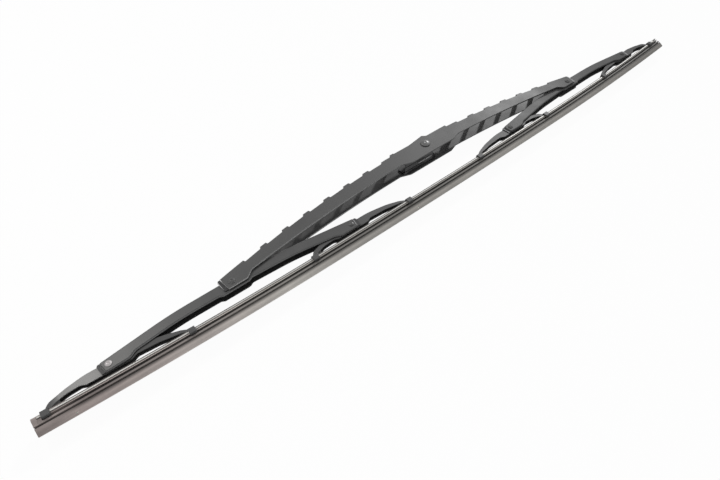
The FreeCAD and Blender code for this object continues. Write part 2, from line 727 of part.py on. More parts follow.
os.makedirs("parts", exist_ok=True)
for node, shape in build().items():
    shape.translate(V(-pin_offset, -pin_height, 0))
    box = shape.BoundBox
    print(node, shape.isValid(), len(shape.Solids), round(shape.Volume, 1),
          [round(v, 1) for v in (box.XMin, box.XMax, box.YMin, box.YMax, box.ZMin, box.ZMax)])
    shape.exportStep("parts/" + node + ".step")
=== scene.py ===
# %% [markdown]
# A lever-type wiper blade on its side
#
# The imported solids are loaded first. They fix every size and place, and this lesson gives them their looks:
# satin black paint on folded steel, bright rivets, spring strips and a dusty grey rubber.
# The box of the solids is kept now.

# %% Load the solids
import bpy
import bmesh
import math
from mathutils import Matrix, Vector


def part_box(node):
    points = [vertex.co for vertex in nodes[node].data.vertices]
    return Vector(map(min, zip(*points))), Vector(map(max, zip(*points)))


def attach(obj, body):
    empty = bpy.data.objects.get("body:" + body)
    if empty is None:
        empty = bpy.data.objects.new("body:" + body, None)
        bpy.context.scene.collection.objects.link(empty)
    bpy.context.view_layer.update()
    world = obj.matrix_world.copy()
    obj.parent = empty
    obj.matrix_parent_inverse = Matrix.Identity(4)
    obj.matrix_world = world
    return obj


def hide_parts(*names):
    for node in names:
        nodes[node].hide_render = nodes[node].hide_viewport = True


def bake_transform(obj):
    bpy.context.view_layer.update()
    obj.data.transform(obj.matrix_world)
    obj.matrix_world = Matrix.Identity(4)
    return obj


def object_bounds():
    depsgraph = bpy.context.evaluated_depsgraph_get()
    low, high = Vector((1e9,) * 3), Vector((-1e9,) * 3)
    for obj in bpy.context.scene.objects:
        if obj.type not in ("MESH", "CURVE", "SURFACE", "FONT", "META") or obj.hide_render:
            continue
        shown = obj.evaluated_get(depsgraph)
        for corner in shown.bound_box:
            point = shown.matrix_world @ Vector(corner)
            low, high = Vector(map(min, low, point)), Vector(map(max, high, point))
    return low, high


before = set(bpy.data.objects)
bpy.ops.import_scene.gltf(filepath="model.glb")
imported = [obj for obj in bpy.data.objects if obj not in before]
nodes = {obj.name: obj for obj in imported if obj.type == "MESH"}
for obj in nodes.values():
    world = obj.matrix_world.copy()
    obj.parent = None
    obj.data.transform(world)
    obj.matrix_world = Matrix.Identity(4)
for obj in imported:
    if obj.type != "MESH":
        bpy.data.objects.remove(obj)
solids_box = [list(corner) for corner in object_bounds()]
scene = bpy.context.scene

# %% [markdown]
# The camera stands near the blade's left end and looks along it with a fairly wide lens, which is why the
# left end looks so much larger than the right one. Its three directions are written out as the columns of
# its matrix. The small shift stands for the photograph having been cropped off centre.

# %% Camera
camera_data = bpy.data.cameras.new("camera")
camera_data.sensor_fit = "HORIZONTAL"
camera_data.sensor_width = 36.0
camera_data.lens = 26.0
camera_data.shift_x = -0.0244
camera_data.shift_y = 0.0111
camera_data.clip_start = 0.01
camera = bpy.data.objects.new("camera", camera_data)
scene.collection.objects.link(camera)
right = Vector((0.7625, -0.6466, 0.0215)).normalized()
back = Vector((-0.4146, -0.4629, 0.7834)).normalized()
up = back.cross(right).normalized()
right = up.cross(back)
standing = Matrix((right, up, back)).transposed().to_4x4()
standing.translation = Vector((-0.2584, -0.2323, 0.2973))
camera.matrix_world = standing
scene.camera = camera
print("camera at", [round(v, 3) for v in standing.translation], "lens", camera_data.lens)

# %% [markdown]
# Materials, the sky and the sweep further down are all node trees. Two helpers serve every one of them: the
# first gives an empty tree, and the second adds one step of arithmetic to a tree.

# %% Tree helpers
def node_tree(owner):
    """The node tree of a material or a world, emptied."""
    owner.use_nodes = True
    owner.node_tree.nodes.clear()
    return owner.node_tree


def math_node(tree, operation, a, b=None, c=None):
    """One step of arithmetic on one, two or three inputs; each is a socket or a number."""
    node = tree.nodes.new("ShaderNodeMath")
    node.operation = operation
    for socket, given in zip(node.inputs, (a, b, c)):
        if given is None:
            continue
        if isinstance(given, (int, float)):
            socket.default_value = given
        else:
            tree.links.new(given, socket)
    return node.outputs[0]


print("helpers", node_tree.__name__, math_node.__name__)

# %% [markdown]
# The blade is shown on plain white. The floor is white to the eye and to reflections, and only a small part
# of its brightness comes from the lamps, so the blade's shadow stays as a faint tone.
# The sky that lights the blade is dimmer than the sky that shows.

# %% Stage and sky
floor_gap = 0.0004
floor_reach = 4.0
floor_glow = 0.96
sky_strength = 0.5


def seen_directly(tree):
    """One for rays from the camera, from a mirror-like surface or through glass, and zero for all others."""
    path = tree.nodes.new("ShaderNodeLightPath").outputs
    nearer = math_node(tree, "MAXIMUM", path["Is Camera Ray"], path["Is Glossy Ray"])
    return math_node(tree, "MAXIMUM", nearer, path["Is Transmission Ray"])


def show_mix(tree, factor, first, second, output):
    """Two shaders, mixed by a factor and sent to an output."""
    mix = tree.nodes.new("ShaderNodeMixShader")
    for socket, given in zip(mix.inputs, (factor, first.outputs[0], second.outputs[0])):
        tree.links.new(given, socket)
    tree.links.new(mix.outputs[0], tree.nodes.new(output).inputs["Surface"])


floor_height = solids_box[0][2] - floor_gap
corners = [(x * floor_reach, y * floor_reach, floor_height) for x, y in ((-1, -1), (1, -1), (1, 1), (-1, 1))]
floor_mesh = bpy.data.meshes.new("floor")
floor_mesh.from_pydata(corners, [], [(0, 1, 2, 3)])
floor = bpy.data.objects.new("floor", floor_mesh)
scene.collection.objects.link(floor)
floor_white = bpy.data.materials.new("floor_white")
tree = node_tree(floor_white)
paper = tree.nodes.new("ShaderNodeBsdfDiffuse")
paper.inputs["Color"].default_value = (0.9, 0.9, 0.9, 1)
glow = tree.nodes.new("ShaderNodeEmission")
glow_share = math_node(tree, "MULTIPLY", seen_directly(tree), floor_glow)
show_mix(tree, glow_share, paper, glow, "ShaderNodeOutputMaterial")
floor_mesh.materials.append(floor_white)

sky = bpy.data.worlds.new("sky")
scene.world = sky
tree = node_tree(sky)
lighting = tree.nodes.new("ShaderNodeBackground")
lighting.inputs["Strength"].default_value = sky_strength
shown = tree.nodes.new("ShaderNodeBackground")
shown.inputs["Color"].default_value = (1, 1, 1, 1)
shown.inputs["Strength"].default_value = 1.0
show_mix(tree, seen_directly(tree), lighting, shown, "ShaderNodeOutputWorld")
scene.view_settings.view_transform = "Standard"
print("floor at", round(floor_height * 1000, 2), "mm")

# %% [markdown]
# One lamp does the drawing: it stands to the right and behind the blade's back, low enough to shine in
# through the windows of the bridge, so that the bars throw dark stripes on the inside of the far wall.
# A soft box behind the left end gives the sheen on the lever and the yoke there.

# %% Lamps
def aimed(name, kind, stand, target, energy):
    """A lamp that stands at one place and is turned towards another."""
    data = bpy.data.lights.new(name, kind)
    data.energy = energy
    lamp = bpy.data.objects.new(name, data)
    lamp.location = stand
    lamp.rotation_euler = (Vector(target) - Vector(stand)).to_track_quat("-Z", "Y").to_euler()
    scene.collection.objects.link(lamp)
    return data


key = aimed("key", "SUN", (0.76, 0.44, 0.48), (0, 0, 0), 1.35)
key.angle = math.radians(4)
sheen = aimed("sheen", "AREA", (-0.4, 0.425, 0.65), (-0.305, -0.027, 0.0), 1.6)
sheen.color = (1.0, 0.98, 0.95)
sheen.shape = "RECTANGLE"
sheen.size = 0.26
sheen.size_y = 0.2

# %% [markdown]
# Every finish is a principled surface whose colour, roughness and bump come from procedural patterns in
# object coordinates. Those are metres here, so a pattern scale of 1000 repeats about every millimetre.
# Noise seldom leaves the middle of its range, so only that middle is carried to the tones and the
# roughness.

# %% Finish helpers
noise_middle = (0.3, 0.7)
relief_depth = 0.0001


def finish(name, color, roughness, metallic=0.0):
    """A principled material with its tree, its shader and its object coordinates."""
    material = bpy.data.materials.new(name)
    tree = node_tree(material)
    shader = tree.nodes.new("ShaderNodeBsdfPrincipled")
    shader.inputs["Base Color"].default_value = (*color, 1)
    shader.inputs["Roughness"].default_value = roughness
    shader.inputs["Metallic"].default_value = metallic
    tree.links.new(shader.outputs[0], tree.nodes.new("ShaderNodeOutputMaterial").inputs["Surface"])
    coordinates = tree.nodes.new("ShaderNodeTexCoord")
    return material, tree, shader, coordinates.outputs["Object"]


def axes(tree, vector):
    """The three numbers of a place or a direction."""
    node = tree.nodes.new("ShaderNodeSeparateXYZ")
    tree.links.new(vector, node.inputs[0])
    return node.outputs


def noise(tree, place, scale, detail, stretch=(1, 1, 1)):
    """Noise read at a place, stretched along the axes, as a value from 0 to 1."""
    mapping = tree.nodes.new("ShaderNodeMapping")
    mapping.inputs["Scale"].default_value = stretch
    texture = tree.nodes.new("ShaderNodeTexNoise")
    texture.inputs["Scale"].default_value = scale
    texture.inputs["Detail"].default_value = detail
    tree.links.new(place, mapping.inputs["Vector"])
    tree.links.new(mapping.outputs[0], texture.inputs["Vector"])
    return texture.outputs["Fac"]


def carried(tree, value, target, source=noise_middle):
    """A value carried from one range to another and held at its ends."""
    node = tree.nodes.new("ShaderNodeMapRange")
    for socket, number in zip(("From Min", "From Max", "To Min", "To Max"), (*source, *target)):
        node.inputs[socket].default_value = number
    tree.links.new(value, node.inputs["Value"])
    return node.outputs[0]


def ramp(tree, value, stops):
    """Colour by a value from 0 to 1; each stop is a position and a colour."""
    node = tree.nodes.new("ShaderNodeValToRGB")
    elements = node.color_ramp.elements
    while len(elements) < len(stops):
        elements.new(0.5)
    for element, (position, color) in zip(elements, stops):
        element.position = position
        element.color = (*color, 1)
    tree.links.new(value, node.inputs["Fac"])
    return node.outputs["Color"]


def two_tones(tree, value, dark, light):
    """Colour between two tones by a noise."""
    return ramp(tree, value, list(zip(noise_middle, (dark, light))))


def mixed(tree, factor, first, second, kind="MIX"):
    """Two colours mixed by a factor; each input is a socket or a constant."""
    node = tree.nodes.new("ShaderNodeMixRGB")
    node.blend_type = kind
    for socket, given in zip(node.inputs, (factor, first, second)):
        if isinstance(given, tuple):
            socket.default_value = (*given, 1)
        elif isinstance(given, float):
            socket.default_value = given
        else:
            tree.links.new(given, socket)
    return node.outputs[0]


def bumped(tree, shader, value, strength):
    """Surface relief from a value."""
    bump = tree.nodes.new("ShaderNodeBump")
    bump.inputs["Strength"].default_value = strength
    bump.inputs["Distance"].default_value = relief_depth
    tree.links.new(value, bump.inputs["Height"])
    tree.links.new(bump.outputs[0], shader.inputs["Normal"])


print("relief up to", relief_depth * 1000, "mm")

# %% [markdown]
# Two things change along the painted pieces. On the left half, light from the right and below catches the
# lower edges and the ends of the sheet, and that light is painted into their colour as a painted highlight. A
# mask
# finds them: faces that look down or to the left, in the outermost millimetre of the folded channel. It fades
# out towards the right half, where the edges stay dark.
# Gloss changes too: the outer left yoke shines along its arm, and the right end of the blade is duller. A
# paint with such a change has a middle place, a half length where it keeps its gloss and a length over
# which the gloss is lost.

# %% Painted edge highlights and gloss
looks_down = -0.6
edge_highlight_fade = (-0.19, -0.01)
gloss_lost = 0.33


def edge_highlight_mask(tree, place, wall, narrowing, tip):
    """A mask for the painted highlight on the cut edges of a channel whose walls start at a half width that
    narrows to the ends.
    """
    facing = axes(tree, tree.nodes.new("ShaderNodeTexCoord").outputs["Normal"])
    along, _, across = axes(tree, place)
    lowest = math_node(tree, "MINIMUM", facing[0], facing[1])
    edge = math_node(tree, "LESS_THAN", lowest, looks_down)
    edge = math_node(tree, "MAXIMUM", edge, math_node(tree, "LESS_THAN", along, tip))
    lost_width = math_node(tree, "MULTIPLY", math_node(tree, "MULTIPLY", along, along), narrowing)
    width = math_node(tree, "ADD", math_node(tree, "ABSOLUTE", across), lost_width)
    outside = math_node(tree, "GREATER_THAN", width, wall)
    fade = carried(tree, along, (1.0, 0.0), edge_highlight_fade)
    return math_node(tree, "MULTIPLY", math_node(tree, "MULTIPLY", edge, outside), fade)


def away_from(tree, place, middle, half, ease):
    """Zero near a place along the blade, rising past a half length to the roughness of lost gloss."""
    distance = math_node(tree, "ABSOLUTE", math_node(tree, "SUBTRACT", axes(tree, place)[0], middle))
    return carried(tree, distance, (0.0, gloss_lost), (half, half + ease))


# The painted highlight on the cut edges fades out between these places along the blade.
print("bare edges fade out from", edge_highlight_fade[0], "to", edge_highlight_fade[1], "m")

# %% [markdown]
# The levers are steel with a satin black powder coat. Powder melts into a skin that is never quite flat, so
# it has a fine orange peel of about half a millimetre, and its gloss wanders slowly along the blade.
# One function makes all the paints, because they differ only in gloss, in how bright the painted highlight on
# their edges is and in the half width where the outermost millimetre of each channel begins.

# %% Painted steel
coat_dark = (0.05, 0.05, 0.05)
coat_light = (0.064, 0.064, 0.064)
satin = (0.5, 0.58)
bridge_wall = 0.0056
lever_wall = 0.0027
yoke_wall = 0.0013
bridge_narrowing = 0.043
# Edge tones of the painted highlight: pale on the bridge, grey on the left lever, the coat's own tone
# elsewhere.
pale_edge_highlight = 0.7
grey_edge_highlight = 0.22
no_edge_highlight = 0.06
bridge_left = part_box("main_bridge")[0][0]
# The painted edge highlight also covers the bridge's left end up to here.
bridge_tip = bridge_left + 0.0006


def painted(name, gloss, wall, edge_highlight_tone, narrowing=0.0, tip=-1.0, peel=0.12, shine_at=None):
    """Satin powder coat with a fine peel, slow changes of gloss and a painted highlight on the cut edges."""
    material, tree, shader, place = finish(name, coat_light, gloss[0])
    clouds = noise(tree, place, 60, 3)
    # The lit cut edges get a painted highlight in the edge tone.
    edge_lit = edge_highlight_mask(tree, place, wall, narrowing, tip)
    coat = mixed(tree, edge_lit, two_tones(tree, clouds, coat_dark, coat_light), (edge_highlight_tone,) * 3)
    tree.links.new(coat, shader.inputs["Base Color"])
    roughness = carried(tree, clouds, gloss)
    if shine_at:
        roughness = math_node(tree, "ADD", roughness, away_from(tree, place, *shine_at))
    tree.links.new(roughness, shader.inputs["Roughness"])
    bumped(tree, shader, noise(tree, place, 1800, 3), peel)
    return material


paints = {
    "bridge": painted("paint_bridge", satin, bridge_wall, pale_edge_highlight, bridge_narrowing, bridge_tip,
                      shine_at=(-0.1, 0.23, 0.1)),
    "lever_left": painted("paint_lever_left", (0.36, 0.44), lever_wall, grey_edge_highlight),
    "lever_right": painted("paint_lever_right", (0.54, 0.62), lever_wall, no_edge_highlight,
                           shine_at=(0.1, 0.0, 0.24)),
    "yoke": painted("paint_yoke", satin, yoke_wall, no_edge_highlight),
    "yoke_right": painted("paint_yoke_right", satin, yoke_wall, no_edge_highlight, shine_at=(0.1, 0.0, 0.25)),
    "sheen": painted("paint_sheen", (0.27, 0.33), yoke_wall, no_edge_highlight, peel=0.04,
                     shine_at=(-0.3055, 0.012, 0.006)),
}
print("paints", sorted(paints), "bridge starts at", round(bridge_left * 1000, 2), "mm")

# %% [markdown]
# Rivets and strips are bare steel. The rivet heads are pressed, and the centre pin is darker because it is
# hardened. The strips are rolled, so their fine scratches run along the blade: their noise is stretched in
# that direction.

# %% Bare steel
def pressed_steel(name, color, gloss):
    """Bare steel with a fine even grain."""
    material, tree, shader, place = finish(name, color, gloss[0], 1.0)
    grain = noise(tree, place, 900, 4)
    tree.links.new(carried(tree, grain, gloss), shader.inputs["Roughness"])
    bumped(tree, shader, grain, 0.1)
    return material


def rolled_steel(name, dark, light, gloss):
    """Bare steel with fine scratches along the blade."""
    material, tree, shader, place = finish(name, dark, gloss[0], 1.0)
    scratches = noise(tree, place, 700, 3, (0.03, 1, 1))
    tree.links.new(two_tones(tree, scratches, dark, light), shader.inputs["Base Color"])
    tree.links.new(carried(tree, scratches, gloss), shader.inputs["Roughness"])
    bumped(tree, shader, scratches, 0.15)
    return material


rivet_steel = pressed_steel("rivet_steel", (0.36, 0.343, 0.343), (0.45, 0.55))
pin_steel = pressed_steel("pin_steel", (0.118, 0.118, 0.118), (0.34, 0.44))
strip_steel = rolled_steel("strip_steel", (0.28, 0.275, 0.265), (0.42, 0.415, 0.4), (0.45, 0.62))
print("steels", rivet_steel.name, pin_steel.name, strip_steel.name)

# %% [markdown]
# The adapter and the liners are moulded black plastic with a faint spark-eroded texture. Two edges that catch
# the light get a painted grey highlight: the ridge under the adapter's tongue, and the rim of the left liner
# that stands out of the bridge.

# %% Black plastic
plastic_dark = (0.008, 0.008, 0.009)
plastic_light = (0.016, 0.016, 0.017)
# The grey of a painted highlight on two edges that catch the light.
highlight_grey = (0.5, 0.5, 0.5)


def moulded(name, axis=0, limit=-1.0, half=1.0):
    """Moulded black plastic, with a painted grey highlight below a limit along one axis and near the blade's
    mid-plane.
    """
    material, tree, shader, place = finish(name, plastic_light, 0.5)
    grain = noise(tree, place, 2500, 2)
    where = axes(tree, place)
    low = math_node(tree, "LESS_THAN", where[axis], limit)
    near = math_node(tree, "LESS_THAN", math_node(tree, "ABSOLUTE", where[2]), half)
    highlit = math_node(tree, "MULTIPLY", low, near)
    color = mixed(tree, highlit, two_tones(tree, grain, plastic_dark, plastic_light), highlight_grey)
    tree.links.new(color, shader.inputs["Base Color"])
    tree.links.new(carried(tree, grain, (0.42, 0.58)), shader.inputs["Roughness"])
    bumped(tree, shader, grain, 0.25)
    return material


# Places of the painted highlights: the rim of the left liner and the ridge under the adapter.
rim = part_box("bridge_liner_left")[0][0] + 0.0006
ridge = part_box("arm_adapter")[0][1] + 0.00065
ridge_half = 0.0006
plastics = {"arm_adapter": moulded("moulded_adapter_highlight", 1, ridge, ridge_half),
            "bridge_liner_left": moulded("moulded_rim_highlight", 0, rim)}
moulded_black = moulded("moulded_black")
print("plastics", moulded_black.name, sorted(plastics), "rim to", round(rim * 1000, 2), "mm")

# %% [markdown]
# The rubber is black, but a new blade is dusted with graphite and talc. Its tones by height are partly that
# dust
# and partly painted shade: pale on the wiping wedge, darker towards the top of the wedge, and nearly black in
# the grooves, where shade falls. The sweep further down stores each point's height over the lip, and a ramp
# turns that height, in millimetres here, into a tone. A second ramp serves the left end, where the grooves
# are moulded shut, and takes over within a few centimetres.
# A painted sheen makes the rubber brightest a third of the way from the left end to the middle, and the
# rubber is darker towards the right end; near the left end it has a reddish tinge. Those places are metres
# along the blade.

# %% Dust and painted shade
section_height = 10.8
# Tone by height in mm: dust on the wedge, painted shade towards its top and in the grooves.
dust_and_shade = [(0.0, 0.52), (2.2, 0.52), (2.7, 0.45), (3.0, 0.36), (3.4, 0.27), (3.7, 0.17), (4.0, 0.08),
        (4.5, 0.06), (5.3, 0.15), (5.6, 0.2), (6.6, 0.12), (6.8, 0.06), (8.1, 0.06), (8.2, 0.4),
        (8.5, 0.52), (8.95, 0.52), (9.0, 0.1), (section_height, 0.06)]
# At the left end, painted shade in the neck groove from 4.4 to 5.2 mm.
end_dust_and_shade = [(0.0, 0.52), (3.4, 0.5), (4.0, 0.42), (4.4, 0.1), (5.2, 0.1), (5.4, 0.42), (section_height, 0.42)]
end_takes_over = (-0.329, -0.308)
reddish = (1.0, 0.86, 0.815)
greyish = (1.0, 0.957, 0.893)
reddish_to_greyish = (-0.3, -0.17)
blade_reach = 0.34
brightest = 1.46
# Brightness along the blade: the peak from -0.235 to -0.17 m is a painted sheen; it falls towards the right
# end.
brightness_along = [(-0.335, 0.5), (-0.315, 0.66), (-0.285, 0.76), (-0.235, 1.0), (-0.17, 1.0), (-0.13, 0.75),
             (-0.03, 0.65), (0.17, 0.65), (0.28, 0.41), (blade_reach, 0.41)]
print("dust_and_shade", len(dust_and_shade), "tones,", len(end_dust_and_shade), "at the left end,", len(brightness_along), "thicknesses")

# %% [markdown]
# The finish puts these together: the tone for the height, the tinge and the brightness for the place along
# the blade. Streaks that run along the blade and soft patches break the tones up.

# %% Grey rubber
def greys(stops, low, high):
    """Stops for a ramp from places and grey tones, with the places carried to 0 to 1."""
    return [((place - low) / (high - low), (tone, tone, tone)) for place, tone in stops]


# This material holds the dust, the painted shade in the grooves and the painted sheen along the blade.
rubber_dust_and_shade, tree, shader, place = finish("rubber_dust_and_shade", (0.3, 0.28, 0.26), 0.62)
streaks = noise(tree, place, 420, 4, (0.02, 1, 1))
patches = noise(tree, place, 45, 4)
height = tree.nodes.new("ShaderNodeAttribute")
height.attribute_name = "height"
over_lip = math_node(tree, "DIVIDE", height.outputs["Fac"], section_height / 1000)
along = axes(tree, place)[0]
tones = [ramp(tree, over_lip, greys(stops, 0.0, section_height)) for stops in (end_dust_and_shade, dust_and_shade)]
tone = mixed(tree, carried(tree, along, (0.0, 1.0), end_takes_over), *tones)
tint = mixed(tree, carried(tree, along, (0.0, 1.0), reddish_to_greyish), reddish, greyish)
tone = mixed(tree, 1.0, tone, tint, "MULTIPLY")
along_share = carried(tree, along, (0.0, 1.0), (-blade_reach, blade_reach))
# The painted sheen along the blade scales the tone.
brightness = ramp(tree, along_share, greys(brightness_along, -blade_reach, blade_reach))
uneven = math_node(tree, "ADD", carried(tree, streaks, (0.38, 0.62)), carried(tree, patches, (0.38, 0.62)))
uneven = math_node(tree, "MULTIPLY", uneven, math_node(tree, "MULTIPLY", brightness, brightest))
tree.links.new(mixed(tree, 1.0, tone, uneven, "MULTIPLY"), shader.inputs["Base Color"])
tree.links.new(carried(tree, patches, (0.55, 0.75)), shader.inputs["Roughness"])
bumped(tree, shader, streaks, 0.2)
print("rubber", rubber_dust_and_shade.name, len(tree.nodes), "nodes")

# %% [markdown]
# Every solid now gets its finish. The rivet at the outer left and the centre pin are bright, the other
# rivets are painted over with their levers.

# %% Dress the solids
own_finishes = {"centre_pin": pin_steel, "yoke_rivet_outer_left": rivet_steel,
                "yoke_outer_left": paints["sheen"], "yoke_outer_right": paints["yoke_right"],
                "main_bridge": paints["bridge"], **plastics}
family_finishes = [("liner", moulded_black), ("strip", strip_steel), ("rubber", rubber_dust_and_shade),
                   ("bridge_rivet", paints["bridge"]), ("yoke_inner", paints["yoke"]),
                   ("left", paints["lever_left"]), ("right", paints["lever_right"])]


def finish_of(name):
    """A solid's own finish, or else that of the first family in its name."""
    return own_finishes.get(name) or next(material for family, material in family_finishes if family in name)


for name in nodes:
    mesh = nodes[name].data
    mesh.materials.clear()
    mesh.materials.append(finish_of(name))
print("dressed", len(nodes), "solids with", len({finish_of(name).name for name in nodes}), "finishes")

# %% [markdown]
# The rubber is one long extrusion, bowed when nothing presses on it, and it bends again with every lever
# that moves. It could be a stiff solid, but then the claws would cut through it. Here its section is drawn
# as a closed outline, a Geometry Nodes tree carries that outline along the bow, and the length is cut where
# one lever hands the rubber to the next. The strips use the same tree.
# An outline's points are millimetres: across from the mid-plane, height over the lip and, for a rounded
# corner, how far from the corner the rounding starts.

# %% Section outlines
mm = 0.001
corner_steps = 3


def rounded(points):
    """Outline through points, with a few steps round each corner that has a rounding."""
    outline = []
    for i, point in enumerate(points):
        here = Vector(point[:2])
        if len(point) < 3:
            outline.append(here)
            continue
        before = (Vector(points[i - 1][:2]) - here).normalized()
        after = (Vector(points[(i + 1) % len(points)][:2]) - here).normalized()
        first = here + before * point[2]
        last = here + after * point[2]
        for step in range(corner_steps + 1):
            t = step / corner_steps
            outline.append(first * (1 - t) ** 2 + here * 2 * t * (1 - t) + last * t * t)
    return outline


def both_sides(half):
    """A half outline together with its mirror image."""
    return half + [(-p[0],) + tuple(p[1:]) for p in reversed(half)]


def section(name, points):
    """A closed outline as a curve, turned so that the sweep stands it upright."""
    outline = rounded(points)
    data = bpy.data.curves.new(name, "CURVE")
    spline = data.splines.new("POLY")
    spline.points.add(len(outline) - 1)
    for target, (across, height) in zip(spline.points, outline):
        target.co = (-height * mm, -across * mm, 0, 1)
    spline.use_cyclic_u = True
    curve = bpy.data.objects.new(name, data)
    scene.collection.objects.link(curve)
    return curve


rubber_half = [(0.4, 0), (2.6, 4.0, 0.25), (2.6, 4.5, 0.2), (0.6, 4.5), (0.6, 5.3), (3.2, 5.3, 0.25),
               (3.2, 6.8, 0.25), (1.5, 6.8), (1.5, 8.1), (3.6, 8.1, 0.25), (3.6, 8.95), (1.35, 8.95),
               (1.35, 10.0), (4.1, 10.0), (4.1, section_height, 0.5)]
rubber_section = section("rubber_section", both_sides(rubber_half))
wedge_half = rubber_half[:6]
groove_closed = wedge_half + [(3.2, 6.8), (3.6, 8.1), *rubber_half[10:]]
end_closed = wedge_half + [(3.2, 6.8), (4.1, 8.95), rubber_half[-1]]
stop_sections = [section("groove_stop_section", both_sides(groove_closed)),
                 section("end_stop_section", both_sides(end_closed))]
strip_corners = [(1.4, 9.0, 0.15), (4.3, 9.0, 0.15), (4.3, 9.95, 0.15), (1.4, 9.95, 0.15)]
strip_sections = {side: section("strip_section_" + side, [(sign * z, y, r) for z, y, r in strip_corners])
                  for side, sign in (("near", 1), ("far", -1))}
print("outlines", rubber_section.name, [s.name for s in stop_sections], sorted(strip_sections))

# %% [markdown]
# The tree lays a straight line, sweeps the outline along it, and then moves every point onto the bow. The
# bow is a flat arc in the middle and a tighter arc at each end, so a point needs only the radius, the
# centre and the angle of the arc that it belongs to.

# %% Sweep along the bow
def either(tree, test, no, yes):
    """One of two values by a test."""
    node = tree.nodes.new("GeometryNodeSwitch")
    node.input_type = "FLOAT"
    tree.links.new(test, node.inputs["Switch"])
    for socket, given in ((node.inputs["False"], no), (node.inputs["True"], yes)):
        if isinstance(given, (int, float)):
            socket.default_value = given
        else:
            tree.links.new(given, socket)
    return node.outputs[0]


def swept(tree, given):
    """The outline swept along a straight line from the start to the end."""
    info = tree.nodes.new("GeometryNodeObjectInfo")
    tree.links.new(given["Outline"], info.inputs["Object"])
    line = tree.nodes.new("GeometryNodeCurvePrimitiveLine")
    for name in ("Start", "End"):
        point = tree.nodes.new("ShaderNodeCombineXYZ")
        tree.links.new(given[name], point.inputs["X"])
        tree.links.new(point.outputs[0], line.inputs[name])
    even = tree.nodes.new("GeometryNodeResampleCurve")
    tree.links.new(line.outputs["Curve"], even.inputs["Curve"])
    tree.links.new(given["Steps"], even.inputs["Count"])
    sweep = tree.nodes.new("GeometryNodeCurveToMesh")
    sweep.inputs["Fill Caps"].default_value = True
    tree.links.new(even.outputs["Curve"], sweep.inputs["Curve"])
    tree.links.new(info.outputs["Geometry"], sweep.inputs["Profile Curve"])
    return sweep.outputs["Mesh"]


def on_the_bow(tree, given, along, height, across):
    """The place on the bow of a point of the straight sweep."""
    middle_radius, end_radius, change = given["Middle radius"], given["End radius"], given["Change"]
    reach = math_node(tree, "ABSOLUTE", along)
    past = math_node(tree, "GREATER_THAN", reach, change)
    turn = math_node(tree, "ARCSINE", math_node(tree, "DIVIDE", change, middle_radius))
    apart = math_node(tree, "SUBTRACT", middle_radius, end_radius)
    centre_along = either(tree, past, 0.0, math_node(tree, "MULTIPLY", math_node(tree, "SINE", turn), apart))
    drop = math_node(tree, "MULTIPLY", math_node(tree, "COSINE", turn), apart)
    centre_up = either(tree, past, middle_radius, math_node(tree, "SUBTRACT", middle_radius, drop))
    radius = either(tree, past, middle_radius, end_radius)
    sine = math_node(tree, "DIVIDE", math_node(tree, "SUBTRACT", reach, centre_along), radius)
    sine_squared = math_node(tree, "MULTIPLY", sine, sine)
    cosine = math_node(tree, "SQRT", math_node(tree, "SUBTRACT", 1.0, sine_squared))
    from_centre = math_node(tree, "SUBTRACT", radius, height)
    out_along = math_node(tree, "MULTIPLY_ADD", from_centre, sine, centre_along)
    signed = math_node(tree, "MULTIPLY", out_along, math_node(tree, "SIGN", along))
    out_up = math_node(tree, "SUBTRACT", centre_up, math_node(tree, "MULTIPLY", from_centre, cosine))
    bent = tree.nodes.new("ShaderNodeCombineXYZ")
    tree.links.new(math_node(tree, "SUBTRACT", signed, given["Offset along"]), bent.inputs["X"])
    tree.links.new(math_node(tree, "SUBTRACT", out_up, given["Offset up"]), bent.inputs["Y"])
    tree.links.new(across, bent.inputs["Z"])
    return bent.outputs[0]


def bow_tree():
    """Node group that sweeps an outline along the bow and stores each point's height over the lip."""
    tree = bpy.data.node_groups.new("sweep_along_bow", "GeometryNodeTree")
    kinds = {"Outline": "NodeSocketObject", "Steps": "NodeSocketInt", "Material": "NodeSocketMaterial"}
    for name in ("Outline", "Start", "End", "Steps", "Middle radius", "End radius", "Change", "Offset along",
                 "Offset up", "Material"):
        tree.interface.new_socket(name, in_out="INPUT", socket_type=kinds.get(name, "NodeSocketFloat"))
    tree.interface.new_socket("Geometry", in_out="OUTPUT", socket_type="NodeSocketGeometry")
    given = tree.nodes.new("NodeGroupInput").outputs
    along, height, across = axes(tree, tree.nodes.new("GeometryNodeInputPosition").outputs[0])
    keep = tree.nodes.new("GeometryNodeStoreNamedAttribute")
    keep.inputs["Name"].default_value = "height"
    tree.links.new(swept(tree, given), keep.inputs["Geometry"])
    tree.links.new(height, keep.inputs["Value"])
    move = tree.nodes.new("GeometryNodeSetPosition")
    tree.links.new(keep.outputs["Geometry"], move.inputs["Geometry"])
    tree.links.new(on_the_bow(tree, given, along, height, across), move.inputs["Position"])
    plain = tree.nodes.new("GeometryNodeRealizeInstances")
    tree.links.new(move.outputs["Geometry"], plain.inputs["Geometry"])
    coat = tree.nodes.new("GeometryNodeSetMaterial")
    tree.links.new(plain.outputs["Geometry"], coat.inputs["Geometry"])
    tree.links.new(given["Material"], coat.inputs["Material"])
    tree.links.new(coat.outputs["Geometry"], tree.nodes.new("NodeGroupOutput").inputs["Geometry"])
    return tree


sweep_along_bow = bow_tree()
print("tree", sweep_along_bow.name, len(sweep_along_bow.nodes), "nodes")

# %% [markdown]
# A stretch of rubber is made by a modifier on a bare object, turned into a plain mesh and freed of its
# modifier. Its inputs are set by the identifiers of the tree's sockets. The bow is drawn from the middle of
# the rubber, and the two offsets bring it to the frame of the solids, which starts at the centre pin.

# %% Make one stretch
pin_offset = 12.9 * mm
pin_height = 48.0 * mm
middle_radius = 12.0
end_radius = 3.6
arc_change = 0.12
step_length = 0.003
fewest_steps = 3
weld_distance = 1e-7


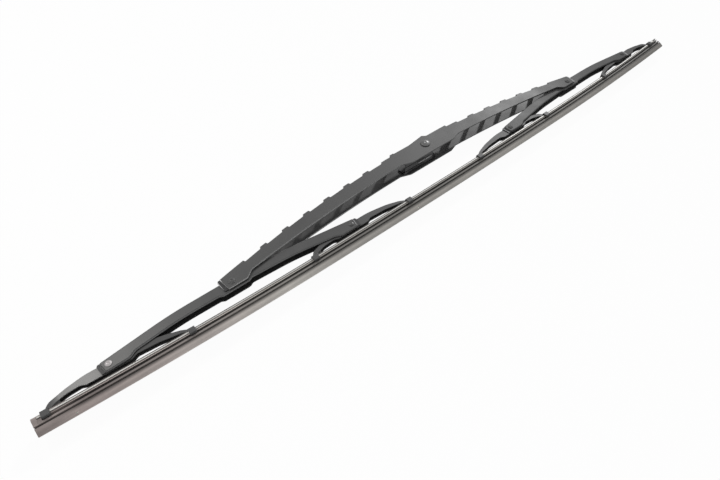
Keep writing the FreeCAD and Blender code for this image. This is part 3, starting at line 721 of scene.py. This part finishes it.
def from_tree(name, tree, values):
    """A plain mesh object from a node group and its named input values."""
    shell = bpy.data.objects.new(name + "_shell", bpy.data.meshes.new(name + "_shell"))
    scene.collection.objects.link(shell)
    modifier = shell.modifiers.new("tree", "NODES")
    modifier.node_group = tree
    for item in tree.interface.items_tree:
        if item.in_out == "INPUT":
            modifier[item.identifier] = values[item.name]
    bpy.context.view_layer.update()
    seen = shell.evaluated_get(bpy.context.evaluated_depsgraph_get())
    mesh = bpy.data.meshes.new_from_object(seen)
    shell.modifiers.clear()
    bpy.data.objects.remove(shell)
    mesh.name = name
    piece = bpy.data.objects.new(name, mesh)
    scene.collection.objects.link(piece)
    return piece


def stretch(name, outline, start, end, material):
    """One length of rubber or strip between two places along the bow, in metres from the middle."""
    steps = max(fewest_steps, int((end - start) / step_length))
    values = {"Outline": outline, "Start": start, "End": end, "Steps": steps, "Middle radius": middle_radius,
              "End radius": end_radius, "Change": arc_change, "Offset along": pin_offset,
              "Offset up": pin_height, "Material": material}
    piece = from_tree(name, sweep_along_bow, values)
    work = bmesh.new()
    work.from_mesh(piece.data)
    bmesh.ops.remove_doubles(work, verts=work.verts, dist=weld_distance)
    bmesh.ops.recalc_face_normals(work, faces=work.faces)
    work.to_mesh(piece.data)
    work.free()
    return piece


print("bow of", middle_radius, "m in the middle and", end_radius, "m past", arc_change, "m")

# %% [markdown]
# The left half of the rubber passes from its outer yoke to the lever, from the lever to the inner yoke,
# back to the lever and then to the bridge in the middle. The right half is its mirror image. Each cut lies
# where both neighbours follow the same body. A row of the chain names the two bodies of a stretch, its
# outer and inner cut, and the places where it leaves the first body and reaches the second.

# %% Chain of stretches
claw_in = 50.2 * mm
claw_out = 39.1 * mm
margin = 2.6 * mm
outer_x = 274.0 * mm
inner_x = 90.6 * mm
rivet_x = 185.8 * mm
hand_over = 27.0 * mm
past_any_end = 1.0
half_chain = [("outer", "lever", past_any_end, rivet_x, outer_x - claw_in - margin, rivet_x),
              ("lever", "inner", rivet_x, inner_x, rivet_x, inner_x + claw_out + margin),
              ("inner", "lever", inner_x, hand_over, inner_x - claw_in - margin, hand_over),
              ("lever", "middle", hand_over, 0.0, hand_over, 0.0)]


def chained(label, outline, left_end, right_end, material, node):
    """All stretches of one long piece, cut at the places the chain gives."""
    made = []
    for hand, sign, end in (("left", -1, left_end), ("right", 1, right_end)):
        for number, (first, second, far_cut, near_cut, leaves, arrives) in enumerate(half_chain, 1):
            low, high = sorted((sign * min(far_cut, end), sign * near_cut))
            piece = stretch("%s_%s_%d" % (label, hand, number), outline, low, high, material)
            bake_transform(piece)
            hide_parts(node)
            made.append(piece)
    points = [v.co for piece in made for v in piece.data.vertices]
    box = [[round(pick(p[k] for p in points) * 1000, 2) for k in range(3)] for pick in (min, max)]
    print(label, len(made), "stretches", box)


print("chain of", len(half_chain), "stretches to each side")

# %% [markdown]
# Now the rubber and both strips are made. The left end of the rubber is moulded shut in two steps: first
# the claw groove stops, and past the strips the slots stop too. It moves with the outer left yoke.

# %% Rubber and strips
stop_past_claw = 3.8 * mm
groove_end = outer_x + claw_out + stop_past_claw
slot_end = 319.1 * mm
rubber_left = 322.0 * mm
rubber_right = 329.0 * mm
strip_left = 318.8 * mm
strip_right = 323.0 * mm
chained("rubber", rubber_section, groove_end, rubber_right, rubber_dust_and_shade, "wiping_rubber")
stop_spans = [(groove_end, slot_end), (slot_end, rubber_left)]
for number, (outline, (start, end)) in enumerate(zip(stop_sections, stop_spans), 1):
    stop = stretch("rubber_stop_%d" % number, outline, -end, -start, rubber_dust_and_shade)
    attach(stop, "yoke_outer_left_body")
    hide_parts("wiping_rubber")
    print(stop.name, round((end - start) * 1000, 1), "mm long")
for side, outline in strip_sections.items():
    chained("strip_" + side, outline, strip_left, strip_right, strip_steel, "backing_strip_" + side)
for outline in [rubber_section, *stop_sections, *strip_sections.values()]:
    bpy.data.objects.remove(outline)
